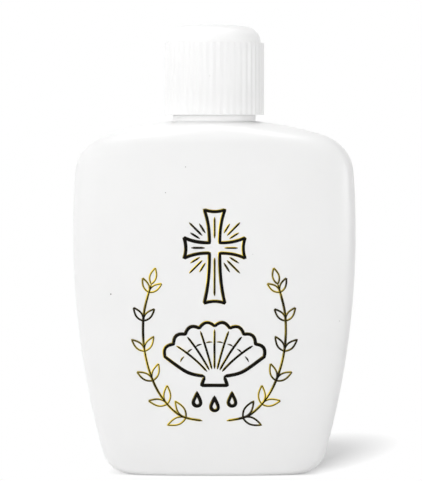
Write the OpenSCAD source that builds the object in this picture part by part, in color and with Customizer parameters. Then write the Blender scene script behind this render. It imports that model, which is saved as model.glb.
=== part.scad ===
// Flat pocket bottle with a ribbed screw cap, closed and standing upright.
// The body is a lofted shell: a squared oval section that narrows to the foot, arches over
// the shoulders and turns into the round neck. Sizes are in millimetres, +Z is up, the front
// faces -Y and the foot stands on z = 0.

/* [Body] */
// Height from the foot to the root of the neck
body_height = 93.5; // [86:0.5:105]
// Width at the widest place
body_width = 75; // [66:0.5:90]
// Depth from front to back at the deepest place
body_depth = 34; // [30:0.5:44]
// Height of the widest place
widest_height = 64; // [54:0.5:72]
// Height of the deepest place
deepest_height = 52; // [44:0.5:62]
// Radius of the bowed sides
side_radius = 222; // [180:1:400]
// Radius of the bowed front and back
face_radius = 600; // [450:10:1200]
// Squareness of the section, where 2 is an ellipse
section_squareness = 9; // [4:0.5:12]

/* [Shoulder] */
// Radius of the arch across the shoulders
shoulder_radius = 100; // [80:1:150]
// Radius of the rounded corners at the ends of the arch
shoulder_corner = 11; // [8:0.5:14]
// Height over which the round section at the neck squares off
turning_height = 8; // [5:0.5:14]
// Height of the rounding between the faces and the shoulder
shoulder_edge = 4.4; // [3:0.1:6]
// Width of the flat step round the root of the neck
neck_step = 0.4; // [0.2:0.1:1]

/* [Foot] */
// Radius of the corners between the sides and the foot
foot_corner = 5; // [4:0.5:7]
// Radius of the edge between the faces and the foot
foot_edge = 1.6; // [1.6:0.1:4]
// Width of the ring that stands on the table
foot_ring = 3; // [2:0.1:4]
// Depth of the hollow inside that ring
punt_depth = 0.9; // [0.5:0.1:1.5]
// Width of the hollow's sloping rim
punt_slope = 1.6; // [0.8:0.1:2.5]

/* [Walls] */
// Wall of the moulded body
body_wall = 1.1; // [0.8:0.1:1.5]
// Thickness of the base over the hollow
base_wall = 1.3; // [1:0.1:2]

/* [Neck] */
// Outer diameter of the neck under its thread
neck_diameter = 22; // [20:0.5:24]
// Wall of the neck
neck_wall = 2; // [1.5:0.1:2.5]
// Height of the neck above the shoulder
neck_height = 18.5; // [15:0.5:22]

/* [Cap] */
// Gap between the shoulder and the rim of the cap
rim_gap = 1.8; // [1:0.1:3]
// Room for the thread between the neck and the cap
thread_room = 0.9; // [0.6:0.05:1.2]
// Wall of the cap between its ribs
cap_wall = 1.2; // [0.8:0.05:1.6]
// Number of ribs round the skirt
rib_count = 45; // [30:1:60]
// Depth of a rib
rib_depth = 0.2; // [0.15:0.05:0.5]
// Share of the pitch that a rib takes at its root
rib_root_share = 0.9; // [0.7:0.05:0.95]
// Share of the pitch that a rib takes at its tip
rib_tip_share = 0.25; // [0.2:0.05:0.5]
// Height of the rib tops above the seat of the liner
rib_overrun = 1.3; // [0.8:0.1:2]
// Width of the ledge from the roots of the ribs in to the dome
dome_step = 0.7; // [0.3:0.05:0.9]
// Radius of the dome's rounded edge
dome_edge = 4.4; // [3:0.1:6]
// Radius of the dome's crown
dome_crown = 66; // [50:1:100]
// Wall of the dome
dome_wall = 1.5; // [1:0.1:2]
// Width of the ledge that presses on the liner
liner_ledge = 2.4; // [2:0.1:2.6]

/* [Liner] */
// Thickness of the sealing liner
liner_thickness = 1.2; // [0.8:0.1:1.6]
// Clearance between the liner and the wall of the cap
liner_clearance = 0.3; // [0.2:0.05:0.5]

/* [Hidden] */

$fn = 96;
overlap = 0.5;

// Points round a section of the body, and steps along each arc of its outline
outer_sides = 72;
inner_sides = 48;
outer_steps = [6, 10, 8, 9];
inner_steps = [3, 7, 5, 6];
dome_steps = 8;

neck_radius = neck_diameter / 2;
bore_radius = neck_radius - neck_wall;
step_radius = neck_radius + neck_step;
rim_height = body_height + neck_height;
floor_height = max(base_wall + punt_depth, body_wall);

cap_bore_radius = neck_radius + thread_room;
rib_root_radius = cap_bore_radius + cap_wall;
rib_tip_radius = rib_root_radius + rib_depth;
dome_radius = rib_root_radius - dome_step;
cap_base = body_height + rim_gap;
seat_depth = neck_height + liner_thickness - rim_gap;
skirt_height = seat_depth + rib_overrun;
hollow_radius = cap_bore_radius - liner_ledge;

// Centres of the arcs that make the outline seen from the front
side_centre = [body_width / 2 - side_radius, widest_height];
arch_centre = [0, body_height - sqrt(pow(shoulder_radius, 2) - pow(step_radius, 2))];
foot_centre = [
    side_centre.x + sqrt(pow(side_radius - foot_corner, 2) - pow(widest_height - foot_corner, 2)),
    foot_corner
];
corner_centre = inner_tangent_centre(
    side_centre, side_radius - shoulder_corner, arch_centre, shoulder_radius - shoulder_corner
);

// Directions, in degrees, at which one arc hands over to the next
foot_end = direction(foot_centre - side_centre);
side_end = direction(corner_centre - side_centre);
corner_end = direction(corner_centre - arch_centre);

function direction(v) = atan2(v.y, v.x);

// Centre of a circle that lies at the given distances from two other centres, on their left
function inner_tangent_centre(first, first_distance, second, second_distance) =
    let (
        span = second - first,
        along = span / norm(span),
        reach = (pow(first_distance, 2) - pow(second_distance, 2) + pow(norm(span), 2)) / (2 * norm(span)),
        rise = sqrt(pow(first_distance, 2) - pow(reach, 2))
    )
    first + reach * along + rise * [-along.y, along.x];

// Points on an arc after its first one
function arc(centre, radius, start, end, steps) = [
    for (i = [1:steps])
        let (angle = start + (end - start) * i / steps)
        centre + radius * [cos(angle), sin(angle)]
];

// Half of the front outline from the floor up to the neck, moved inwards by inset
function outline(inset, floor, steps) =
    let (
        foot_start = asin(max(-1, (floor - foot_corner) / (foot_corner - inset))),
        top = body_height - inset,
        arch_end = asin((top - arch_centre.y) / (shoulder_radius - inset)),
        foot_radius = foot_corner - inset
    )
    concat(
        [foot_centre + foot_radius * [cos(foot_start), sin(foot_start)]],
        arc(foot_centre, foot_radius, foot_start, foot_end, steps[0]),
        arc(side_centre, side_radius - inset, foot_end, side_end, steps[1]),
        arc(corner_centre, shoulder_corner - inset, side_end, corner_end, steps[2]),
        arc(arch_centre, shoulder_radius - inset, corner_end, arch_end, steps[3])
    );

// How far a rounded edge draws in, from 0 where it starts to 1 at its end
function rounding(travel) = 1 - sqrt(max(0, 1 - pow(max(0, travel), 2)));

function face_depth(z) =
    body_depth / 2 - face_radius + sqrt(pow(face_radius, 2) - pow(z - deepest_height, 2));

// Half of the depth at a height, moved inwards by inset
function half_depth(z, inset) =
    let (
        top = body_height - inset,
        shoulder_travel = (z - body_height + shoulder_edge) / (shoulder_edge - inset),
        foot_travel = (foot_edge - z) / (foot_edge - inset),
        shoulder_draw = face_depth(top) - inset - step_radius
    )
    face_depth(z) - inset - shoulder_draw * rounding(shoulder_travel)
    - (foot_edge - inset) * rounding(foot_travel);

// The section is round at the neck and squares off down over the shoulder
function squareness(z, inset) =
    let (fall = min(1, max(0, (body_height - inset - z) / turning_height)))
    2 + (section_squareness - 2) * pow(fall, 2) * (3 - 2 * fall);

// Sections of the body as half width, half depth, height and squareness
function body_sections(inset, floor, steps) = [
    for (p = outline(inset, floor, steps))
        [p.x, half_depth(p.y, inset), p.y, squareness(p.y, inset)]
];

// Solid through a list of sections
module loft(sections, sides) {
    points = [
        for (s = sections, i = [0:sides - 1])
            let (t = 360 * i / sides)
            [s[0] * cos(t), s[1] * sign(sin(t)) * pow(abs(sin(t)), 2 / s[3]), s[2]]
    ];
    last_ring = (len(sections) - 1) * sides;
    bottom = [[for (i = [0:sides - 1]) i]];
    top = [[for (i = [sides - 1:-1:0]) last_ring + i]];
    walls = [
        for (ring = [0:sides:last_ring - sides], i = [0:sides - 1])
            let (a = ring + i, b = ring + (i + 1) % sides)
            each [[a, a + sides, b + sides], [a, b + sides, b]]
    ];
    polyhedron(points, concat(bottom, walls, top));
}

// Shallow hollow under the foot, which leaves a ring to stand on
module punt() {
    foot_width = foot_centre.x - foot_ring;
    foot_depth = half_depth(0, 0) - foot_ring;
    flare = overlap * punt_slope / punt_depth;
    loft([
        [foot_width + flare, foot_depth + flare, -overlap, section_squareness],
        [foot_width - punt_slope, foot_depth - punt_slope, punt_depth, section_squareness]
    ], inner_sides);
}

module bottle_body() {
    color("white")
    difference() {
        union() {
            loft(body_sections(0, 0, outer_steps), outer_sides);
            translate([0, 0, body_height - overlap])
                cylinder(r = neck_radius, h = neck_height + overlap);
        }
        loft(body_sections(body_wall, floor_height, inner_steps), inner_sides);
        translate([0, 0, body_height - body_wall - overlap])
            cylinder(r = bore_radius, h = body_wall + neck_height + 2 * overlap);
        punt();
    }
}

// Skirt outline with one trapezoid for each rib
module rib_outline() {
    pitch = 360 / rib_count;
    corners = [
        [rib_root_radius, -rib_root_share],
        [rib_tip_radius, -rib_tip_share],
        [rib_tip_radius, rib_tip_share],
        [rib_root_radius, rib_root_share]
    ];
    polygon([
        for (i = [0:rib_count - 1], c = corners)
            let (angle = pitch * (i + c[1] / 2))
            c[0] * [cos(angle), sin(angle)]
    ]);
}

// Half section of the dome above the ribs, moved inwards by inset
function dome_outline(inset) =
    let (
        edge_centre = [dome_radius - dome_edge, 0],
        crown_centre = [0, -sqrt(pow(dome_crown - dome_edge, 2) - pow(edge_centre.x, 2))],
        edge_end = direction(edge_centre - crown_centre),
        edge_radius = dome_edge - inset
    )
    concat(
        [[0, 0], [edge_centre.x + edge_radius, 0]],
        arc(edge_centre, edge_radius, 0, edge_end, dome_steps),
        arc(crown_centre, dome_crown - inset, edge_end, 90, dome_steps)
    );

// Hollow of the crown, inside the ledge that presses on the liner
module crown_hollow() {
    cylinder(r = hollow_radius, h = skirt_height - seat_depth + overlap);
    translate([0, 0, skirt_height - seat_depth])
        rotate_extrude()
            intersection() {
                polygon(dome_outline(dome_wall));
                square([hollow_radius, dome_edge + dome_crown]);
            }
}

module screw_cap() {
    color("whitesmoke")
    translate([0, 0, cap_base])
    difference() {
        union() {
            linear_extrude(skirt_height) rib_outline();
            translate([0, 0, skirt_height]) rotate_extrude() polygon(dome_outline(0));
        }
        translate([0, 0, -overlap]) cylinder(r = cap_bore_radius, h = seat_depth + overlap);
        translate([0, 0, seat_depth]) crown_hollow();
    }
}

module cap_liner() {
    color("ivory")
    translate([0, 0, rim_height])
        cylinder(r = cap_bore_radius - liner_clearance, h = liner_thickness);
}

bottle_body();
screw_cap();
cap_liner();
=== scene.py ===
import math

import bmesh
import bpy
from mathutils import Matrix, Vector


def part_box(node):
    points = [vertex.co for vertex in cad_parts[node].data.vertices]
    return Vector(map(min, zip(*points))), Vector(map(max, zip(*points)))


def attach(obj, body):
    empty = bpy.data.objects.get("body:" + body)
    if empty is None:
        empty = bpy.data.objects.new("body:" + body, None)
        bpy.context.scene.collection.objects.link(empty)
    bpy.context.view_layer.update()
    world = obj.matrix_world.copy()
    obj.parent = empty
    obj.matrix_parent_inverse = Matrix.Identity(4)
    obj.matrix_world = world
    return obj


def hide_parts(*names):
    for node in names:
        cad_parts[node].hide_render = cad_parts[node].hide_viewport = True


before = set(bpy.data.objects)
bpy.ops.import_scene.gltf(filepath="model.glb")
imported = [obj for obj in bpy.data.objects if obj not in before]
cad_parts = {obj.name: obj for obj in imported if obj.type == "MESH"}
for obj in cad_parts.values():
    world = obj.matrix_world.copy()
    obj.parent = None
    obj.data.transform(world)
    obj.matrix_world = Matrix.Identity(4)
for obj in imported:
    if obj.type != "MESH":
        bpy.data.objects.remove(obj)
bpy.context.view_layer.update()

MM = 0.001
FULL_TURN = 2 * math.pi

# Places taken from the parts in model.glb
cap_low, cap_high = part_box("screw_cap")
liner_low, liner_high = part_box("cap_liner")
rim_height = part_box("bottle_body")[1].z

# Moulded body
BODY_HEIGHT = 93.5 * MM
BODY_WIDTH = 75 * MM
BODY_DEPTH = 34 * MM
WIDEST_HEIGHT = 64 * MM
DEEPEST_HEIGHT = 52 * MM
SIDE_RADIUS = 222 * MM
FACE_RADIUS = 600 * MM
ROUND = 2
SQUARENESS = 9
SHOULDER_RADIUS = 100 * MM
SHOULDER_CORNER = 11 * MM
TURNING_HEIGHT = 8 * MM
SHOULDER_EDGE = 4.4 * MM
BODY_WALL = 1.1 * MM
FLOOR_HEIGHT = 2.2 * MM
FLOOR_SHARES = (0.15, 0.4, 0.65, 0.85)

# Steps round a quarter of a section, and up the foot's corner, the side, the shoulder's corner and the arch
QUARTER_STEPS = 42
INNER_STEPS = (4, 16, 7, 9)
OUTER_STEPS = (10, 44, 16, 22)

# Foot, a flat ring round a shallow hollow
FOOT_CORNER = 7.5 * MM
FOOT_EDGE = 1.6 * MM
FOOT_RING = 3 * MM
HOLLOW_DEPTH = 0.9 * MM
HOLLOW_SLOPE = 1.6 * MM
HOLLOW_SHARES = (0.75, 0.5, 0.25, 0.06)

# Shares of the ring and, past 1, of the slope, with shares of the hollow's depth and the seam's height
FOOT_STEPS = [
    (0.3, 0.0, 0.0),
    (0.95, 0.0, 0.0),
    (1.0, 0.067, 0.0),
    (1.15, 0.278, 0.4),
    (1.35, 0.8, 1.0),
    (1.5, 0.967, 1.0),
    (1.7, 1.0, 1.0),
]

# Neck
NECK_RADIUS = 11 * MM
BORE_RADIUS = 9 * MM
NECK_STEP = 0.4 * MM
STEP_RADIUS = NECK_RADIUS + NECK_STEP
STEP_TURNS = (20, 45, 70)
NECK_RINGS = 84
NECK_TOP_GAP = 0.3 * MM
NECK_FOOT_GAP = 0.1 * MM
LIP_ROUNDING = 0.5 * MM
LIP_INNER_TURNS = (60, 30, 0)
LIP_OUTER_TURNS = (0, 30, 60, 90)

# Rounding from the ceiling into the bore, as millimetres out from the bore and up from the ceiling
THROAT_STEPS = [(0.9, 0.1), (0.25, 0.45), (0.0, 1.1)]

# Parting line that the two halves of the mould leave, as millimetres from the line and its height there
SEAM_STEPS = [(0.0, 0.09), (0.07, 0.08), (0.14, 0.05), (0.24, 0.015), (0.4, 0.0)]
PINCH_GAIN = 3.0

# Screw thread of the neck and the cap
PITCH = 3.2 * MM
THREAD_TURNS = 1.75
THREAD_DEPTH = 0.62 * MM
THREAD_HALF_WIDTH = 0.72 * MM
THREAD_FLANK = 1.9
THREAD_RUNOUT = 0.12
NECK_THREAD_START = rim_height - 7.6 * MM
CAP_THREAD_START = NECK_THREAD_START - 1.5 * PITCH

# Cap
RIB_COUNT = 45
RIB_POINTS = 8
RIB_DEPTH = 0.2 * MM
RIB_ROOT_RADIUS = cap_high.x - RIB_DEPTH
CAP_BORE_RADIUS = 11.9 * MM
CAP_BORE_RINGS = 80
CAP_BORE_START = 0.4 * MM
CAP_BORE_EDGE = 0.2 * MM
CAP_CHAMFER = 0.15 * MM
SEAT_HEIGHT = liner_high.z
SKIRT_TOP = SEAT_HEIGHT + 1.3 * MM
DOME_EDGE = 4.4 * MM
DOME_CROWN = 66 * MM
DOME_WALL = 1.5 * MM
DOME_RADIUS = RIB_ROOT_RADIUS - 0.7 * MM
DOME_END = math.radians(89.5)
DOME_STEPS = 10
CROWN_STEPS = 8
CROWN_RADIUS = 9.5 * MM
CROWN_GAP = 0.3 * MM
CROWN_EDGE = 0.5 * MM
GATE_RADIUS = 0.9 * MM
GATE_HEIGHT = 0.12 * MM
GATE_SHARES = (0.3, 0.75)
GATE_CLEAR = 1.2

# Rounded ends of the ribs, as millimetres from the end, off the root and off the ribs' depth
RIB_TOP_STEPS = [(0.02, 0.0, 0.16), (0.09, 0.0, 0.048), (0.16, 0.0, 0.0)]
RIB_FOOT_STEPS = [(0.16, 0.0, 0.0), (0.048, 0.02, 0.06), (0.0, 0.1, 0.16)]

# Liner, dented by the rim, with the dent's slope and margin as shares of the liner's radius
LINER_SOFT = 0.25 * MM
LINER_BEND = 0.3
LINER_DENT = 0.08 * MM
DENT_SLOPE = 0.04
DENT_MARGIN = 0.03
LINER_LOW_SHARES = (0.02, 0.3, 0.6)
LINER_HIGH_SHARES = (0.7, 0.35, 0.02)


def direction(x, z):
    return math.atan2(z, x)


def ease(share):
    return share * share * (3 - 2 * share)


# Centres and ends of the arcs of the front outline


def tangent_centre(first, first_distance, second, second_distance):
    """The point at these distances from two centres, on the left of the line between them."""
    span = second - first
    along = span.normalized()
    reach = (first_distance**2 - second_distance**2 + span.length_squared) / (2 * span.length)
    rise = math.sqrt(first_distance**2 - reach**2)
    return first + reach * along + rise * Vector((-along.y, along.x))


side_x = BODY_WIDTH / 2 - SIDE_RADIUS
arch_z = BODY_HEIGHT - math.sqrt(SHOULDER_RADIUS**2 - STEP_RADIUS**2)
foot_x = side_x + math.sqrt((SIDE_RADIUS - FOOT_CORNER) ** 2 - (WIDEST_HEIGHT - FOOT_CORNER) ** 2)
side_centre = Vector((side_x, WIDEST_HEIGHT))
arch_centre = Vector((0, arch_z))
foot_centre = Vector((foot_x, FOOT_CORNER))
corner_centre = tangent_centre(
    side_centre, SIDE_RADIUS - SHOULDER_CORNER, arch_centre, SHOULDER_RADIUS - SHOULDER_CORNER
)
foot_end = direction(*(foot_centre - side_centre))
side_end = direction(*(corner_centre - side_centre))
corner_end = direction(*(corner_centre - arch_centre))


def arc(centre, radius, start, end, steps):
    """Points on an arc after its first one, each with its outward normal."""
    found = []
    for i in range(1, steps + 1):
        angle = start + (end - start) * i / steps
        normal = Vector((math.cos(angle), math.sin(angle)))
        found.append((centre + radius * normal, normal))
    return found


def outline(inset, floor, steps):
    """Half of the front outline from the floor to the neck, with normals, moved inwards by inset."""
    foot_radius = FOOT_CORNER - inset
    foot_start = math.asin(max(-1, (floor - FOOT_CORNER) / foot_radius))
    arch_end = math.asin((BODY_HEIGHT - inset - arch_z) / (SHOULDER_RADIUS - inset))
    normal = Vector((math.cos(foot_start), math.sin(foot_start)))
    return (
        [(foot_centre + foot_radius * normal, normal)]
        + arc(foot_centre, foot_radius, foot_start, foot_end, steps[0])
        + arc(side_centre, SIDE_RADIUS - inset, foot_end, side_end, steps[1])
        + arc(corner_centre, SHOULDER_CORNER - inset, side_end, corner_end, steps[2])
        + arc(arch_centre, SHOULDER_RADIUS - inset, corner_end, arch_end, steps[3])
    )


# Depth and squareness of the body by height


def rounding(travel):
    return 1 - math.sqrt(max(0, 1 - max(0, travel) ** 2))


def face_depth(z):
    return BODY_DEPTH / 2 - FACE_RADIUS + math.sqrt(FACE_RADIUS**2 - (z - DEEPEST_HEIGHT) ** 2)


def half_depth(z, inset=0.0):
    shoulder = (z - BODY_HEIGHT + SHOULDER_EDGE) / (SHOULDER_EDGE - inset)
    foot = (FOOT_EDGE - z) / (FOOT_EDGE - inset)
    draw = face_depth(BODY_HEIGHT - inset) - inset - STEP_RADIUS
    return face_depth(z) - inset - draw * rounding(shoulder) - (FOOT_EDGE - inset) * rounding(foot)


def squareness(z, inset=0.0):
    fall = min(1, max(0, (BODY_HEIGHT - inset - z) / TURNING_HEIGHT))
    return ROUND + (SQUARENESS - ROUND) * ease(fall)


def half_width(z):
    """Half of the width in the part of the body that the bowed sides make."""
    return side_x + math.sqrt(SIDE_RADIUS**2 - (z - WIDEST_HEIGHT) ** 2)


def front_y(x, z):
    """The front face's place at a point of the front view, for the bowed part of the body."""
    return -half_depth(z) * (1 - (x / half_width(z)) ** 2) ** (1 / SQUARENESS)


# Sections and skins


def section(width, depth, z, power, normal=(0, 0), seam=0.0):
    """Points round a squared oval, closer together by the parting line, which stands out along normal."""
    quarter = []
    for place, height in SEAM_STEPS:
        angle = math.asin(min(1, place * MM / depth) ** (power / 2))
        quarter.append((angle, height * MM * seam))
    first = quarter[-1][0]
    for i in range(1, QUARTER_STEPS + 1):
        quarter.append((first + (math.pi / 2 - first) * i / QUARTER_STEPS, 0.0))
    half = quarter + [(math.pi - angle, rise) for angle, rise in quarter[-2::-1]]
    whole = half + [(-angle, rise) for angle, rise in half[-2:0:-1]]
    points = []
    for angle, rise in whole:
        across = math.cos(angle)
        deep = math.copysign(abs(math.sin(angle)) ** (2 / power), math.sin(angle))
        side = math.copysign(1, across)
        points.append(Vector((
            width * across + side * rise * normal[0],
            depth * deep,
            z + rise * normal[1],
        )))
    return points


def circle_section(radius, z, seam=0.0):
    return section(radius, radius, z, ROUND, (1, 0), seam)


def shrink(ring, share, z):
    return [Vector((p.x * share, p.y * share, z)) for p in ring]


def thread_rise(angle, z, start):
    """How far a right-handed thread stands out at an angle and height."""
    turn_now = (z - start) / PITCH - angle / FULL_TURN
    best = 0.0
    for turn in range(math.ceil(THREAD_TURNS)):
        along = turn + angle / FULL_TURN
        if along > THREAD_TURNS:
            continue
        off = abs(turn_now - turn) * PITCH / THREAD_HALF_WIDTH
        fade = min(1, along / THREAD_RUNOUT, (THREAD_TURNS - along) / THREAD_RUNOUT)
        flank = min(1, max(0, (1 - off) * THREAD_FLANK))
        best = max(best, THREAD_DEPTH * fade * flank)
    return best


def threaded(points, start, sign):
    """Moves the points of a round section out, or in for a sign of -1, where a thread stands."""
    moved = []
    for p in points:
        angle = math.atan2(p.y, p.x) % FULL_TURN
        flat = Vector((p.x, p.y, 0))
        moved.append(p + flat.normalized() * sign * thread_rise(angle, p.z, start))
    return moved


def solid(name, points, faces, sharp=40):
    """An object from points and faces, with outward normals and smooth shading below the sharp angle."""
    mesh = bpy.data.meshes.new(name)
    mesh.from_pydata([tuple(p) for p in points], [], faces)
    made = bmesh.new()
    made.from_mesh(mesh)
    bmesh.ops.recalc_face_normals(made, faces=made.faces)
    made.to_mesh(mesh)
    made.free()
    mesh.shade_smooth()
    mesh.set_sharp_from_angle(angle=math.radians(sharp))
    piece = bpy.data.objects.new(name, mesh)
    bpy.context.scene.collection.objects.link(piece)
    return piece


def skin(name, rings):
    """A closed mesh through rings of points, with a pole in the middle of the first and the last ring."""
    count = len(rings[0])
    points = [p for ring in rings for p in ring]
    faces = []
    for r in range(len(rings) - 1):
        for i in range(count):
            j = (i + 1) % count
            faces.append((r * count + i, r * count + j, (r + 1) * count + j, (r + 1) * count + i))
    for ring, base in ((rings[0], 0), (rings[-1], (len(rings) - 1) * count)):
        pole = len(points)
        points.append(sum(ring, Vector()) / count)
        for i in range(count):
            faces.append((pole, base + i, base + (i + 1) % count))
    return solid(name, points, faces)


# Body


def inner_rings():
    """From the middle of the inner floor up the walls and through the bore."""
    walls = [
        section(p.x, half_depth(p.y, BODY_WALL), p.y, squareness(p.y, BODY_WALL))
        for p, normal in outline(BODY_WALL, FLOOR_HEIGHT, INNER_STEPS)
    ]
    rings = [shrink(walls[0], share, FLOOR_HEIGHT) for share in FLOOR_SHARES] + walls
    ceiling = BODY_HEIGHT - BODY_WALL
    for out, up in THROAT_STEPS:
        rings.append(circle_section(BORE_RADIUS + out * MM, ceiling + up * MM))
    rings.append(circle_section(BORE_RADIUS, rim_height - LIP_ROUNDING))
    return rings


def lip_ring(side, turn):
    """A ring of the rounded lip, on its outer side for 1 and its inner side for -1."""
    angle = math.radians(turn)
    middle = (BORE_RADIUS + NECK_RADIUS) / 2
    half_flat = (NECK_RADIUS - BORE_RADIUS) / 2 - LIP_ROUNDING
    radius = middle + side * (half_flat + LIP_ROUNDING * math.sin(angle))
    return circle_section(radius, rim_height - LIP_ROUNDING * (1 - math.cos(angle)))


def neck_rings():
    """Down the threaded outside of the neck and its small rounding onto the shoulder."""
    rings = []
    top = rim_height - LIP_ROUNDING - NECK_TOP_GAP
    low = BODY_HEIGHT + NECK_STEP + NECK_FOOT_GAP
    for i in range(NECK_RINGS + 1):
        z = top + (low - top) * i / NECK_RINGS
        rings.append(threaded(circle_section(NECK_RADIUS, z, 1.0), NECK_THREAD_START, 1))
    for turn in STEP_TURNS:
        angle = math.radians(turn)
        radius = NECK_RADIUS + NECK_STEP * (1 - math.cos(angle))
        rings.append(circle_section(radius, BODY_HEIGHT + NECK_STEP * (1 - math.sin(angle)), 1.0))
    return rings


def outer_rings():
    """From the shoulder down to the foot, with a parting line that fades out at the foot's corner."""
    rings = []
    for p, normal in reversed(outline(0.0, 0.0, OUTER_STEPS)):
        seam = min(1, p.y / FOOT_CORNER)
        rings.append(section(p.x, half_depth(p.y), p.y, squareness(p.y), normal, seam))
    return rings


def foot_ring(inset, share, z, seam):
    """A ring of the underside, drawn in from the foot's edge and then shrunk to a share."""
    width = (foot_x - inset) * share
    depth = (half_depth(0.0) - inset) * share
    return section(width, depth, z, SQUARENESS, (0, -1), seam * PINCH_GAIN)


def foot_rings():
    """Across the flat ring and up the slope to the middle of the hollow, with the pinch-off seam."""
    rings = []
    for passed, height, seam in FOOT_STEPS:
        inset = FOOT_RING * min(1, passed) + HOLLOW_SLOPE * max(0, passed - 1)
        rings.append(foot_ring(inset, 1.0, height * HOLLOW_DEPTH, seam))
    for share in HOLLOW_SHARES:
        rings.append(foot_ring(FOOT_RING + HOLLOW_SLOPE, share, HOLLOW_DEPTH, 1.0))
    return rings


def body_rings():
    """Rings from the middle of the inner floor, up inside, over the lip and down outside to the foot."""
    lip = [lip_ring(-1, turn) for turn in LIP_INNER_TURNS] + [lip_ring(1, turn) for turn in LIP_OUTER_TURNS]
    return inner_rings() + lip + neck_rings() + outer_rings() + foot_rings()


# Cap


def rib_profile(place):
    """Height of the ribs, from 0 to 1, at a place along the pitch, also from 0 to 1."""
    return ease(1 - abs(place - 0.5) * 2)


def cap_ring(radius, z, ribs=0.0):
    count = RIB_COUNT * RIB_POINTS
    points = []
    for i in range(count):
        angle = FULL_TURN * i / count
        reach = radius + ribs * rib_profile((i % RIB_POINTS) / RIB_POINTS)
        points.append(Vector((reach * math.cos(angle), reach * math.sin(angle), z)))
    return points


def dome_points(inset, steps):
    """Points of the dome's half section from its edge to its crown, moved inwards by inset."""
    edge = Vector((DOME_RADIUS - DOME_EDGE, SKIRT_TOP))
    crown_drop = math.sqrt((DOME_CROWN - DOME_EDGE) ** 2 - edge.x**2)
    crown = Vector((0, SKIRT_TOP - crown_drop))
    handover = direction(*(edge - crown))
    found = [Vector((edge.x + DOME_EDGE - inset, SKIRT_TOP))]
    found += [p for p, normal in arc(edge, DOME_EDGE - inset, 0, handover, steps)]
    found += [p for p, normal in arc(crown, DOME_CROWN - inset, handover, DOME_END, steps)]
    return found


def skirt_ring(end, way, step):
    """A ring by a rounded end of the ribs, above that end for a way of 1 and below it for -1."""
    away, off_root, off_ribs = (size * MM for size in step)
    return cap_ring(RIB_ROOT_RADIUS - off_root, end + way * away, RIB_DEPTH - off_ribs)


def cap_rings():
    """Rings from the crown, down the dome and the ribs, under the rim and up inside to the hollow crown."""
    dome = dome_points(0.0, DOME_STEPS)
    top = dome[-1].y
    rings = [cap_ring(GATE_RADIUS * share, top - GATE_HEIGHT) for share in GATE_SHARES]
    rings.append(cap_ring(GATE_RADIUS, top))
    rings += [cap_ring(p.x, p.y) for p in reversed(dome) if p.x > GATE_RADIUS * GATE_CLEAR]
    rings += [skirt_ring(SKIRT_TOP, -1, step) for step in RIB_TOP_STEPS]
    rings += [skirt_ring(cap_low.z, 1, step) for step in RIB_FOOT_STEPS]
    rings.append(cap_ring(CAP_BORE_RADIUS + CAP_CHAMFER, cap_low.z))
    rings.append(cap_ring(CAP_BORE_RADIUS, cap_low.z + CAP_BORE_EDGE))
    bore_low = cap_low.z + CAP_BORE_START
    for i in range(CAP_BORE_RINGS + 1):
        z = bore_low + (SEAT_HEIGHT - bore_low) * i / CAP_BORE_RINGS
        rings.append(threaded(cap_ring(CAP_BORE_RADIUS, z), CAP_THREAD_START, -1))
    rings.append(cap_ring(CROWN_RADIUS + CAP_CHAMFER, SEAT_HEIGHT))
    rings.append(cap_ring(CROWN_RADIUS, SEAT_HEIGHT + CAP_CHAMFER))
    inside = [p for p in dome_points(DOME_WALL, CROWN_STEPS) if p.x < CROWN_RADIUS - CROWN_GAP]
    rings.append(cap_ring(CROWN_RADIUS, inside[0].y - CROWN_EDGE))
    rings += [cap_ring(p.x, p.y) for p in inside]
    return rings


# Liner


def liner_rings():
    """Rings of a soft disc with rounded edges and the print of the neck's rim in its lower face."""
    radius = liner_high.x
    low = liner_low.z
    dent = low + LINER_DENT
    high = liner_high.z
    bend = LINER_SOFT * LINER_BEND
    places = [(radius * share, low) for share in LINER_LOW_SHARES]
    places += [
        (BORE_RADIUS - radius * DENT_SLOPE, low),
        (BORE_RADIUS, dent),
        (NECK_RADIUS - radius * DENT_MARGIN, dent),
        (radius - LINER_SOFT, dent),
        (radius - bend, dent + bend),
        (radius, dent + LINER_SOFT),
        (radius, high - LINER_SOFT),
        (radius - bend, high - bend),
        (radius - LINER_SOFT, high),
    ]
    places += [(radius * share, high) for share in LINER_HIGH_SHARES]
    return [circle_section(reach, z) for reach, z in places]


# Foil print: a cross with rays over a scallop shell, water drops and leafy sprigs

# The gold's dark reflection is painted as a near-black foil over the gold, shifted right and down so that
# the gold along the upper and left edges shows as a painted highlight
GOLD_HEIGHT = 0.03 * MM
PAINTED_DARK_HEIGHT = 0.055 * MM
PAINTED_DARK_SHIFT = (0.08 * MM, -0.06 * MM)
PRINT_SINK = 0.03 * MM
PRINT_SHARP = 60

# Widths of a line's painted dark reflection and of the gold under it, and their places in each pair
PAINTED_DARK, GOLD = 0, 1
BOLD = (0.82 * MM, 0.98 * MM)
FINE = (0.46 * MM, 0.6 * MM)
HAIR = (0.32 * MM, 0.46 * MM)
GILT_STEM = (0.4 * MM, 0.72 * MM)
GILT_LEAF = (0.26 * MM, 0.54 * MM)

# Rounded section of a line, as shares of its width and height
STROKE_FLAT = 0.2
STROKE_EDGE = 0.46
STROKE_EDGE_HEIGHT = 0.6

# Steps along a line, and the width of its ends as a share of the whole that grows with each step
STROKE_STEP = 0.35 * MM
LEAST_STEPS = 4
NO_LENGTH = 1e-9
TAPER_START = 0.3
TAPER_GAIN = 0.35

# Cross, with the reach of its arms from the top one clockwise
CROSS_CENTRE = Vector((0.0, 60.5 * MM))
CROSS_ARMS = (10 * MM, 8 * MM, 14.5 * MM, 8 * MM)
CROSS_WAIST = 1.35 * MM
CROSS_FLARE = 2.7 * MM
CROSS_CURVE = 2.4
CROSS_BOW = 0.5 * MM
CROSS_STEPS = 8
CROSS_END_PLACES = (-0.6, -0.2, 0.2, 0.6)
MIDLINE_START = 1.9 * CROSS_WAIST
MIDLINE_GAP = 1.9 * MM

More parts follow.
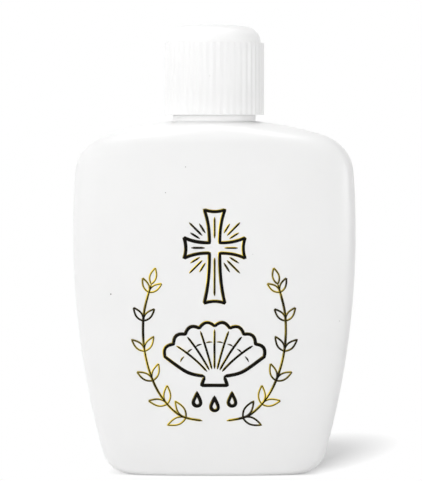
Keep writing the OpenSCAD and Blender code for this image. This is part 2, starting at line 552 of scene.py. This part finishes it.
# Rays between the arms, as degrees from an arm and share of the length
RAYS = [(32, 0.6), (45, 1.0), (58, 0.6)]
RAY_NEAR = 4.6 * MM
RAY_FAR = 9.4 * MM

# Scallop shell, with its grooves and growth bands at shares of its radius
SHELL_HINGE = Vector((0.0, 25.5 * MM))
SHELL_RADIUS = 14.5 * MM
SHELL_SPREAD = math.radians(64)
SHELL_LOBES = 8
LOBE_STEPS = 6
LOBE_BULGE = 0.075
EAR_HALF_WIDTH = 3.4 * MM
EAR_HEIGHT = 1.2 * MM
EAR_TOP_SHARE = 0.75
FLANK_MIDDLE = Vector((0.5, 0.16))
GROOVE_LEAN = 0.25
GROOVE_PLACES = (0.22, 0.4, 0.6, 0.8, 0.94)
BAND_RADIUS = 0.7
BAND_BULGE = 0.015
BAND_PLACES = (0.2, 0.5, 0.8)

# Drops, with places in millimetres and the shine as shares of the height
DROP_PLACES = [(-4.6, 20.6), (0.0, 19.4), (4.6, 20.6)]
DROP_HEIGHT = 3.6 * MM
DROP_BREADTH = 0.42
DROP_STEPS = 28
DROP_SHINE = [(-0.2, -0.12), (-0.17, -0.27), (-0.06, -0.36)]

# Right-hand sprig, with its stem in millimetres and its leaves at shares of the stem
SPRIG_STEM = [(3.2, 14.9), (9.5, 16.6), (15, 23), (18.2, 32.5), (18.6, 42.5), (16.6, 51)]
STEM_SHARE = 24
LEAF_PAIRS = 6
FIRST_LEAF = 0.14
LEAF_SPAN = 0.8
LEAF_LENGTH = 5.4 * MM
LEAF_LOSS = 1.4 * MM
LEAF_ANGLE = math.radians(40)
LEAF_BREADTH = 0.36
LEAF_STEPS = 12
LEAF_SKEW = 0.85
TIP_LENGTH = 4.4 * MM
TIP_BREADTH = 1.7 * MM


def pointing(angle):
    return Vector((math.cos(angle), math.sin(angle)))


def mirrored(points):
    return [(-x, z) for x, z in points]


def smooth(points, share=8):
    """A smooth line through points, as a Catmull-Rom curve."""
    last = len(points) - 1
    found = []
    for i in range(last):
        a, b, c, d = (points[min(max(i + k, 0), last)] for k in (-1, 0, 1, 2))
        for s in range(share):
            t = s / share
            found.append(tuple(
                0.5 * (
                    2 * b[n]
                    + (c[n] - a[n]) * t
                    + (2 * a[n] - 5 * b[n] + 4 * c[n] - d[n]) * t**2
                    + (3 * b[n] - a[n] - 3 * c[n] + d[n]) * t**3
                )
                for n in (0, 1)
            ))
    found.append(tuple(points[last]))
    return found


def resample(points, closed):
    """The same line with points a steady step apart."""
    line = [Vector(p) for p in points]
    if closed:
        line.append(line[0].copy())
    lengths = [0.0]
    for a, b in zip(line, line[1:]):
        lengths.append(lengths[-1] + (b - a).length)
    count = max(LEAST_STEPS, round(lengths[-1] / STROKE_STEP))
    found = []
    k = 0
    for i in range(count if closed else count + 1):
        goal = lengths[-1] * i / count
        while k < len(line) - 2 and lengths[k + 1] < goal:
            k += 1
        span = max(lengths[k + 1] - lengths[k], NO_LENGTH)
        found.append(line[k].lerp(line[k + 1], min(1, (goal - lengths[k]) / span)))
    return found


def ribbon(points, faces, line, closed, width, height, shift):
    """Adds one printed line: a low rounded ribbon that follows the front face, with tapering ends."""
    places = resample(line, closed)
    count = len(places)
    start = len(points)
    shape = [
        (-0.5, -PRINT_SINK),
        (-STROKE_EDGE, height * STROKE_EDGE_HEIGHT),
        (-STROKE_FLAT, height),
        (STROKE_FLAT, height),
        (STROKE_EDGE, height * STROKE_EDGE_HEIGHT),
        (0.5, -PRINT_SINK),
    ]
    for i, place in enumerate(places):
        before = places[i - 1] if closed or i > 0 else place
        after = places[(i + 1) % count] if closed or i < count - 1 else place
        along = (after - before).normalized()
        left = Vector((-along.y, along.x))
        taper = 1.0
        if not closed:
            taper = min(1, TAPER_START + TAPER_GAIN * min(i, count - 1 - i))
        for across, lift in shape:
            x, z = place + left * across * width * taper + Vector(shift)
            points.append(Vector((x, front_y(x, z) - lift, z)))
    size = len(shape)
    for i in range(count if closed else count - 1):
        here = start + i * size
        there = start + (i + 1) % count * size
        for k in range(size):
            m = (k + 1) % size
            faces.append((here + k, here + m, there + m, there + k))
    if not closed:
        faces.append(tuple(start + k for k in range(size)))
        faces.append(tuple(start + (count - 1) * size + k for k in range(size)))


def cross_strokes():
    """A cross with flared arms, and a fine line along the middle of each arm."""
    outer = []
    fine = []
    for quarter, reach in enumerate(CROSS_ARMS):
        ahead = pointing(math.pi / 2 * (1 - quarter))
        right = Vector((ahead.y, -ahead.x))
        side = []
        for i in range(1, CROSS_STEPS + 1):
            s = i / CROSS_STEPS
            along = CROSS_WAIST + (reach - CROSS_WAIST) * s
            side.append((along, CROSS_WAIST + (CROSS_FLARE - CROSS_WAIST) * s**CROSS_CURVE))
        end = [(reach - CROSS_BOW * (1 - t * t), CROSS_FLARE * t) for t in CROSS_END_PLACES]
        left_side = [(along, -out) for along, out in [(CROSS_WAIST, CROSS_WAIST)] + side]
        path = left_side + end + side[::-1]
        outer += [tuple(CROSS_CENTRE + ahead * along + right * out) for along, out in path]
        fine.append([tuple(CROSS_CENTRE + ahead * a) for a in (MIDLINE_START, reach - MIDLINE_GAP)])
    return [(outer, True, BOLD)] + [(line, False, FINE) for line in fine]


def ray_strokes():
    strokes = []
    for quarter in range(4):
        for turn, share in RAYS:
            ahead = pointing(math.radians(90 * quarter + turn))
            ends = (RAY_NEAR, RAY_NEAR + (RAY_FAR - RAY_NEAR) * share)
            strokes.append(([tuple(CROSS_CENTRE + ahead * reach) for reach in ends], False, FINE))
    return strokes


def shell_strokes():
    """A scallop shell that opens upwards from its hinge."""
    first = math.pi / 2 - SHELL_SPREAD
    step = 2 * SHELL_SPREAD / SHELL_LOBES

    def shell_point(angle, share):
        return tuple(SHELL_HINGE + pointing(angle) * SHELL_RADIUS * share)

    rim = []
    for i in range(SHELL_LOBES * LOBE_STEPS + 1):
        bulge = 1 + LOBE_BULGE * abs(math.sin(math.pi * i / LOBE_STEPS))
        rim.append(shell_point(first + step * i / LOBE_STEPS, bulge))
    x, z = SHELL_HINGE
    ear_top = [(x + side * EAR_HALF_WIDTH * EAR_TOP_SHARE, z + EAR_HEIGHT) for side in (-1, 1)]
    ear_foot = [(x + side * EAR_HALF_WIDTH, z - EAR_HEIGHT) for side in (-1, 1)]
    flank = smooth([ear_top[1], tuple(SHELL_HINGE + FLANK_MIDDLE * SHELL_RADIUS), rim[0]])
    other_flank = [(2 * x - a, b) for a, b in reversed(flank)]
    strokes = [
        (flank[:-1] + rim + other_flank[1:], False, BOLD),
        ([ear_top[0], ear_foot[0], ear_foot[1], ear_top[1]], False, BOLD),
    ]
    for i in range(1, SHELL_LOBES):
        angle = first + step * i
        lean = GROOVE_LEAN * (angle - math.pi / 2)
        groove = [shell_point(angle - lean * (1 - r), r) for r in GROOVE_PLACES]
        strokes.append((smooth(groove), False, FINE))
    for i in range(SHELL_LOBES):
        band = [
            shell_point(first + step * (i + s), BAND_RADIUS + BAND_BULGE * math.sin(math.pi * s))
            for s in BAND_PLACES
        ]
        strokes.append((smooth(band), False, HAIR))
    return strokes


def drop_strokes(x, z):
    line = []
    for i in range(DROP_STEPS):
        t = FULL_TURN * i / DROP_STEPS
        across = DROP_BREADTH * math.sin(t) * math.sin(t / 2) ** 2
        line.append((x + DROP_HEIGHT * across, z + DROP_HEIGHT * 0.5 * math.cos(t)))
    shine = [(x + DROP_HEIGHT * across, z + DROP_HEIGHT * up) for across, up in DROP_SHINE]
    return [(line, True, BOLD), (smooth(shine), False, HAIR)]


def leaf_stroke(root, heading, length, breadth):
    """The edge of an almond leaf that grows from root."""
    ahead = pointing(heading)
    left = Vector((-ahead.y, ahead.x))
    edge = []
    for i in range(LEAF_STEPS + 1):
        s = i / LEAF_STEPS
        edge.append((s, math.sin(math.pi * s**LEAF_SKEW) * breadth / 2))
    path = edge + [(s, -out) for s, out in edge[-2:0:-1]]
    return [tuple(root + ahead * length * s + left * out) for s, out in path], True, GILT_LEAF


def sprig_strokes():
    """A leafy stem: pairs of leaves along it and one leaf at the tip."""
    stem = smooth([(x * MM, z * MM) for x, z in SPRIG_STEM], STEM_SHARE)
    path = [Vector(p) for p in stem]
    strokes = [(stem, False, GILT_STEM)]
    for i in range(LEAF_PAIRS):
        s = FIRST_LEAF + LEAF_SPAN * i / (LEAF_PAIRS - 1)
        k = round(s * (len(path) - 2))
        heading = direction(*(path[k + 1] - path[k]))
        length = LEAF_LENGTH - LEAF_LOSS * s
        for side in (-1, 1):
            strokes.append(leaf_stroke(path[k], heading + side * LEAF_ANGLE, length, length * LEAF_BREADTH))
    heading = direction(*(path[-1] - path[-3]))
    strokes.append(leaf_stroke(path[-1], heading, TIP_LENGTH, TIP_BREADTH))
    return strokes


def print_strokes():
    """All lines of the print, as points of the front view, whether closed, and widths."""
    strokes = cross_strokes() + ray_strokes() + shell_strokes()
    for x, z in DROP_PLACES:
        strokes += drop_strokes(x * MM, z * MM)
    sprig = sprig_strokes()
    return strokes + sprig + [(mirrored(line), closed, widths) for line, closed, widths in sprig]


def foil_piece(name, layer, height, shift):
    points = []
    faces = []
    for line, closed, widths in print_strokes():
        ribbon(points, faces, line, closed, widths[layer], height, shift)
    return solid(name, points, faces, PRINT_SHARP)


# Shader nodes


def material(name):
    made = bpy.data.materials.new(name)
    made.use_nodes = True
    return made, made.node_tree


def feed(tree, source, target):
    """Links a socket to an input, or sets a plain value on it."""
    if isinstance(source, bpy.types.NodeSocket):
        tree.links.new(source, target)
    else:
        target.default_value = source


def shader_node(tree, kind, inputs, out, **settings):
    """An output of a new node that has these settings, and sockets or plain values on its inputs."""
    made = tree.nodes.new("ShaderNode" + kind)
    for name, value in settings.items():
        setattr(made, name, value)
    for name, source in inputs.items():
        feed(tree, source, made.inputs[name])
    return made.outputs[out]


def object_place(tree):
    return shader_node(tree, "TexCoord", {}, "Object")


def along_axis(tree, vector, axis):
    return shader_node(tree, "SeparateXYZ", {"Vector": vector}, axis)


def noise(tree, place, scale, detail):
    return shader_node(tree, "TexNoise", {"Vector": place, "Scale": scale, "Detail": detail}, "Fac")


def cells(tree, place, scale):
    return shader_node(tree, "TexVoronoi", {"Vector": place, "Scale": scale}, "Distance")


def remap(tree, source, before, after=(0, 1)):
    """A value moved from one range to another and kept within it."""
    inputs = {"Value": source}
    inputs["From Min"], inputs["From Max"] = before
    inputs["To Min"], inputs["To Max"] = after
    return shader_node(tree, "MapRange", inputs, "Result")


def spread(tree, source, low, high):
    """A value from 0 to 1 moved to the range from low to high."""
    return remap(tree, source, (0, 1), (low, high))


def mixed(tree, factor, first, second):
    inputs = {"Factor": factor, "A": first, "B": second}
    return shader_node(tree, "Mix", inputs, "Result", data_type="RGBA")


def bump(tree, height, strength):
    inputs = {"Height": height, "Strength": strength, "Distance": BUMP_DISTANCE}
    return shader_node(tree, "Bump", inputs, "Normal")


def maths(tree, operation, first, second):
    return shader_node(tree, "Math", {0: first, 1: second}, 0, operation=operation)


def set_surface(tree, inputs):
    """Sets sockets or plain values on the surface shader's own inputs."""
    shader = tree.nodes["Principled BSDF"]
    for name, source in inputs.items():
        feed(tree, source, shader.inputs[name])


# Materials

BUMP_DISTANCE = 0.1 * MM

# Plastic, with scales in features to a metre
BLUE_SHARE = 0.997
MOTTLE = 0.02
MOTTLE_SCALE = 70
MOTTLE_DETAIL = 3
SPECK_CELLS = 125
SPECK_EDGE = 0.03
SPECK_CORE = 0.017
SHEEN_SPREAD = 0.06
GRAIN_SCALE = 1400
GRAIN_DETAIL = 2
GRAIN_STRENGTH = 0.12
PLASTIC_IOR = 1.5
SCATTER_WEIGHT = 0.3
SCATTER_DEPTH = 1 * MM

# Grey of the plastic by height, and the two heights between which its scattering fades out. The body's
# greys hold painted light and shade: a painted shade darkens them towards the foot, and painted light
# whitens them from the shoulder up, where the cap shades the shoulder and neck
BODY_GREYS_PAINTED_LIGHT = [
    (0.0, 0.85),
    (25 * MM, 0.87),
    (BODY_HEIGHT - 6 * MM, 0.876),
    (BODY_HEIGHT - 2.5 * MM, 0.95),
    (BODY_HEIGHT - 0.5 * MM, 0.985),
    (rim_height, 0.985),
]
BODY_SCATTER = (BODY_HEIGHT - 6 * MM, BODY_HEIGHT - 1.5 * MM)
BODY_ROUGHNESS = 0.32
BODY_SPECKS = (0.2, 0.19, 0.18, 1)
# The cap's greys hold painted light: whiter at the skirt's lower rim and on the dome than on the ribbed
# skirt
CAP_GREYS_PAINTED_LIGHT = [
    (cap_low.z, 0.97),
    (cap_low.z + 6 * MM, 0.935),
    (SKIRT_TOP, 0.935),
    (SKIRT_TOP + 1 * MM, 0.985),
    (cap_high.z, 0.985),
]
CAP_SCATTER = (cap_low.z + 6 * MM, cap_low.z)
CAP_ROUGHNESS = 0.34
CAP_SPECKS = (0.8, 0.79, 0.78, 1)

# Foam, painted darker in its pits as painted shade
FOAM_CELLS = 2600
FOAM_PAINTED_PIT_SHADE = (0.78, 0.77, 0.73, 1)
FOAM_SKIN = (0.88, 0.87, 0.83, 1)
FOAM_BUMP = 0.5
FOAM_ROUGHNESS = 0.8

# Foil, with patches to a metre
PATCH_DETAIL = 3
PATCH_RANGE = (0.42, 0.6)
WEAR_LESS = 0.1
WEAR_MORE = 0.12
# Bright gold, with deep near-black patches that paint the foil's dark reflection
GOLD_BRIGHT = (0.82, 0.63, 0.07, 1)
GOLD_PAINTED_DEEP = (0.05, 0.038, 0.012, 1)
GOLD_PATCHES = 110
GOLD_METAL = 0.7
GOLD_ROUGHNESS = 0.3
GOLD_SHINE = 0.3
# Near-black foil that paints the gold's dark reflection
PAINTED_DARK_LIFTED = (0.006, 0.005, 0.004, 1)
PAINTED_DARK_DEEP = (0.003, 0.003, 0.002, 1)
PAINTED_DARK_PATCHES = 420
PAINTED_DARK_METAL = 0.0
PAINTED_DARK_ROUGHNESS = 0.5
PAINTED_DARK_SHINE = 0.05


def greys_with_painted_light(tree, height, painted_light_greys):
    """A colour that follows the height through the listed greys, which hold painted light and shade."""
    low, high = painted_light_greys[0][0], painted_light_greys[-1][0]
    painted_light_ramp = tree.nodes.new("ShaderNodeValToRGB")
    painted_light_ramp.color_ramp.interpolation = "EASE"
    stops = painted_light_ramp.color_ramp.elements
    while len(stops) < len(painted_light_greys):
        stops.new(1)
    for stop, (z, grey) in zip(stops, painted_light_greys):
        stop.position = (z - low) / (high - low)
        stop.color = (grey, grey, grey * BLUE_SHARE, 1)
    feed(tree, remap(tree, height, (low, high)), painted_light_ramp.inputs["Fac"])
    return painted_light_ramp.outputs["Color"]


def plastic(name, painted_light_greys, scatter, roughness, speck_colour):
    """White moulded plastic with greys by height that hold painted light and shade, soft mottling, satin
    grain, a few specks and some scattered light.
    """
    made, tree = material(name)
    place = object_place(tree)
    height = along_axis(tree, place, "Z")
    mottle = noise(tree, place, MOTTLE_SCALE, MOTTLE_DETAIL)
    uneven = {0: greys_with_painted_light(tree, height, painted_light_greys), "Scale": spread(tree, mottle, 1 - MOTTLE, 1 + MOTTLE)}
    mottled = shader_node(tree, "VectorMath", uneven, "Vector", operation="SCALE")
    speck = remap(tree, cells(tree, place, SPECK_CELLS), (SPECK_EDGE, SPECK_CORE))
    grain = noise(tree, place, GRAIN_SCALE, GRAIN_DETAIL)
    set_surface(tree, {
        "Base Color": mixed(tree, speck, mottled, speck_colour),
        "Roughness": spread(tree, mottle, roughness - SHEEN_SPREAD, roughness + SHEEN_SPREAD),
        "Normal": bump(tree, grain, GRAIN_STRENGTH),
        "IOR": PLASTIC_IOR,
        "Subsurface Weight": remap(tree, height, scatter, (SCATTER_WEIGHT, 0)),
        "Subsurface Scale": SCATTER_DEPTH,
        "Subsurface Radius": (1, 1, 1),
    })
    return made


def foam(name):
    """Closed-cell foam: fine pits, painted darker as painted shade, over a pale, matt disc."""
    made, tree = material(name)
    pits = cells(tree, object_place(tree), FOAM_CELLS)
    set_surface(tree, {
        "Base Color": mixed(tree, pits, FOAM_PAINTED_PIT_SHADE, FOAM_SKIN),
        "Roughness": FOAM_ROUGHNESS,
        "Normal": bump(tree, pits, FOAM_BUMP),
    })
    return made


def foil(name, bright, deep, patches, metal, roughness, shine):
    """Stamped foil whose shade changes from bright to deep in soft patches, that many to a metre; the deep
    colour paints the foil's dark reflection.
    """
    made, tree = material(name)
    patch = noise(tree, object_place(tree), patches, PATCH_DETAIL)
    set_surface(tree, {
        "Base Color": mixed(tree, remap(tree, patch, PATCH_RANGE), deep, bright),
        "Roughness": spread(tree, patch, roughness - WEAR_LESS, roughness + WEAR_MORE),
        "Metallic": metal,
        "Specular IOR Level": shine,
    })
    return made


# Pieces


def dress(piece, look, body, node=None):
    piece.data.materials.append(look)
    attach(piece, body)
    if node:
        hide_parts(node)


body_plastic = plastic("body_plastic", BODY_GREYS_PAINTED_LIGHT, BODY_SCATTER, BODY_ROUGHNESS, BODY_SPECKS)
cap_plastic = plastic("cap_plastic", CAP_GREYS_PAINTED_LIGHT, CAP_SCATTER, CAP_ROUGHNESS, CAP_SPECKS)
liner_foam = foam("liner_foam")
gold = foil("gold_foil", GOLD_BRIGHT, GOLD_PAINTED_DEEP, GOLD_PATCHES, GOLD_METAL, GOLD_ROUGHNESS, GOLD_SHINE)
painted_dark_foil = foil("foil_shade", PAINTED_DARK_LIFTED, PAINTED_DARK_DEEP, PAINTED_DARK_PATCHES, PAINTED_DARK_METAL, PAINTED_DARK_ROUGHNESS, PAINTED_DARK_SHINE)

dress(skin("moulded_bottle", body_rings()), body_plastic, "bottle", "bottle_body")
dress(skin("ribbed_cap", cap_rings()), cap_plastic, "cap", "screw_cap")
dress(skin("sealing_liner", liner_rings()), liner_foam, "liner", "cap_liner")
dress(foil_piece("print_gold", GOLD, GOLD_HEIGHT, (0, 0)), gold, "bottle")
# Painted dark reflection over the gold print
dress(foil_piece("print_dark", PAINTED_DARK, PAINTED_DARK_HEIGHT, PAINTED_DARK_SHIFT), painted_dark_foil, "bottle")


# Stage

WHITE = (1, 1, 1, 1)
ORIGIN = (0, 0, 0)

# Floor, white to the eye outside the oval that keeps the bottle's shadow. Inside it the floor is darker to
# the eye than to light, a painted shade that deepens the rendered shadow; the oval, a smaller one round the
# foot and a fade in front of it set where that shadow shows
FLOOR_REACH = 3.0
FLOOR_LIT = (0.9, 0.9, 0.9, 1)
FLOOR_SEEN_PAINTED_SHADE = (0.82, 0.82, 0.82, 1)
FLOOR_ROUGHNESS = 0.9
FLOOR_SHINE = 0.1
SHADE_CENTRE = (19.3 * MM, 22.5 * MM, 0)
SHADE_TURN = (0, 0, -0.43)
SHADE_SIZE = (20.8 * MM, 55.7 * MM, 1)
SHADE_FADE = (0.57, 1.16)
CONTACT_SIZE = (22.4 * MM, 13.3 * MM, 1)
CONTACT_FADE = (1, 1.6)
CONTACT_LEAST = 0.5
FRONT_FADE = (-8 * MM, -13 * MM)

# Light from all round, weaker towards the right and the zenith
AMBIENT_LEFT = 1.5
AMBIENT_RIGHT = 0.28
ZENITH_SHARE = 0.35
ZENITH_RISE = 0.8

# Soft lamps in metres and watts, as name, place, height aimed at, size and power
LAMPS = [
    ("side", (-0.7, -0.7, 0.2), 0.06, 0.7, 2.2),
    ("top", (0, -0.03, 1.06), 0.06, 0.6, 4.2),
    ("fill", (0.9, -0.5, 0.1), 0.08, 0.5, 2.9),
    ("front", (-0.15, -0.95, 0.1), 0.08, 0.5, 1.0),
]

# Camera, with its focal length in pixels of the photograph and its pitch in degrees
PHOTO_HEIGHT = 481
FOCAL_PIXELS = 2612
CAMERA_PLACE = (-0.9 * MM, -700 * MM, 95 * MM)
CAMERA_PITCH = 2.73
SENSOR = 36.0


def seen_directly(tree):
    """1 for camera, glossy and transmission rays, and 0 for light that falls on the object."""
    rays = tree.nodes.new("ShaderNodeLightPath").outputs
    either = maths(tree, "MAXIMUM", rays["Is Camera Ray"], rays["Is Glossy Ray"])
    return maths(tree, "MAXIMUM", either, rays["Is Transmission Ray"])


def oval_place(tree, place, size, centre=ORIGIN, turn=ORIGIN):
    """Places measured from the middle of an oval, in its half sizes."""
    inputs = {"Vector": place, "Location": centre, "Rotation": turn, "Scale": size}
    return shader_node(tree, "Mapping", inputs, "Vector", vector_type="TEXTURE")


def clear_share(tree):
    """How much of the floor's own shade gives way to plain white, from 0 to 1."""
    place = object_place(tree)
    shade = oval_place(tree, place, SHADE_SIZE, SHADE_CENTRE, SHADE_TURN)
    distance = shader_node(tree, "VectorMath", {0: shade}, "Value", operation="LENGTH")
    front = remap(tree, along_axis(tree, place, "Y"), FRONT_FADE)
    open_floor = maths(tree, "MAXIMUM", remap(tree, distance, SHADE_FADE), front)
    foot = oval_place(tree, place, CONTACT_SIZE)
    reach = shader_node(tree, "VectorMath", {0: foot}, "Vector", operation="ABSOLUTE")
    across = maths(tree, "POWER", along_axis(tree, reach, "X"), ROUND)
    deep = maths(tree, "POWER", along_axis(tree, reach, "Y"), SQUARENESS)
    contact = remap(tree, maths(tree, "ADD", across, deep), CONTACT_FADE, (CONTACT_LEAST, 1))
    return maths(tree, "MULTIPLY", open_floor, contact)


def floor_material():
    made, tree = material("floor")
    seen = seen_directly(tree)
    # To the eye the floor is darker than to light: painted shade in the shadow
    set_surface(tree, {
        "Base Color": mixed(tree, seen, FLOOR_LIT, FLOOR_SEEN_PAINTED_SHADE),
        "Roughness": FLOOR_ROUGHNESS,
        "Specular IOR Level": FLOOR_SHINE,
    })
    surfaces = {
        "Fac": maths(tree, "MULTIPLY", clear_share(tree), seen),
        1: tree.nodes["Principled BSDF"].outputs["BSDF"],
        2: shader_node(tree, "Emission", {}, "Emission"),
    }
    shown = shader_node(tree, "MixShader", surfaces, "Shader")
    feed(tree, shown, tree.nodes["Material Output"].inputs["Surface"])
    return made


def make_floor():
    corners = [(-1, -1), (1, -1), (1, 1), (-1, 1)]
    mesh = bpy.data.meshes.new("floor")
    mesh.from_pydata([(x * FLOOR_REACH, y * FLOOR_REACH, 0) for x, y in corners], [], [(0, 1, 2, 3)])
    mesh.materials.append(floor_material())
    floor = bpy.data.objects.new("floor", mesh)
    bpy.context.scene.collection.objects.link(floor)


def make_world():
    world = bpy.data.worlds.new("studio")
    world.use_nodes = True
    tree = world.node_tree
    way = shader_node(tree, "TexCoord", {}, "Generated")
    level = remap(tree, along_axis(tree, way, "X"), (-1, 1), (AMBIENT_LEFT, AMBIENT_RIGHT))
    rise = remap(tree, along_axis(tree, way, "Z"), (0, ZENITH_RISE), (1, ZENITH_SHARE))
    ambient = tree.nodes["Background"]
    feed(tree, WHITE, ambient.inputs["Color"])
    feed(tree, maths(tree, "MULTIPLY", level, rise), ambient.inputs["Strength"])
    surfaces = {
        "Fac": seen_directly(tree),
        1: ambient.outputs["Background"],
        2: shader_node(tree, "Background", {"Color": WHITE}, "Background"),
    }
    shown = shader_node(tree, "MixShader", surfaces, "Shader")
    feed(tree, shown, tree.nodes["World Output"].inputs["Surface"])
    bpy.context.scene.world = world


def make_lamp(name, place, aim_height, size, power):
    light = bpy.data.lights.new(name, "AREA")
    light.size = size
    light.energy = power
    lamp = bpy.data.objects.new(name, light)
    lamp.location = place
    lamp.rotation_euler = (Vector((0, 0, aim_height)) - Vector(place)).to_track_quat("-Z", "Y").to_euler()
    bpy.context.scene.collection.objects.link(lamp)


def make_camera():
    data = bpy.data.cameras.new("camera")
    data.sensor_width = SENSOR
    data.lens = FOCAL_PIXELS / PHOTO_HEIGHT * SENSOR
    camera = bpy.data.objects.new("camera", data)
    camera.location = CAMERA_PLACE
    camera.rotation_euler = (math.radians(90 - CAMERA_PITCH), 0, 0)
    bpy.context.scene.collection.objects.link(camera)
    bpy.context.scene.camera = camera


make_floor()
make_world()
for lamp_values in LAMPS:
    make_lamp(*lamp_values)
make_camera()
bpy.context.scene.view_settings.view_transform = "Standard"
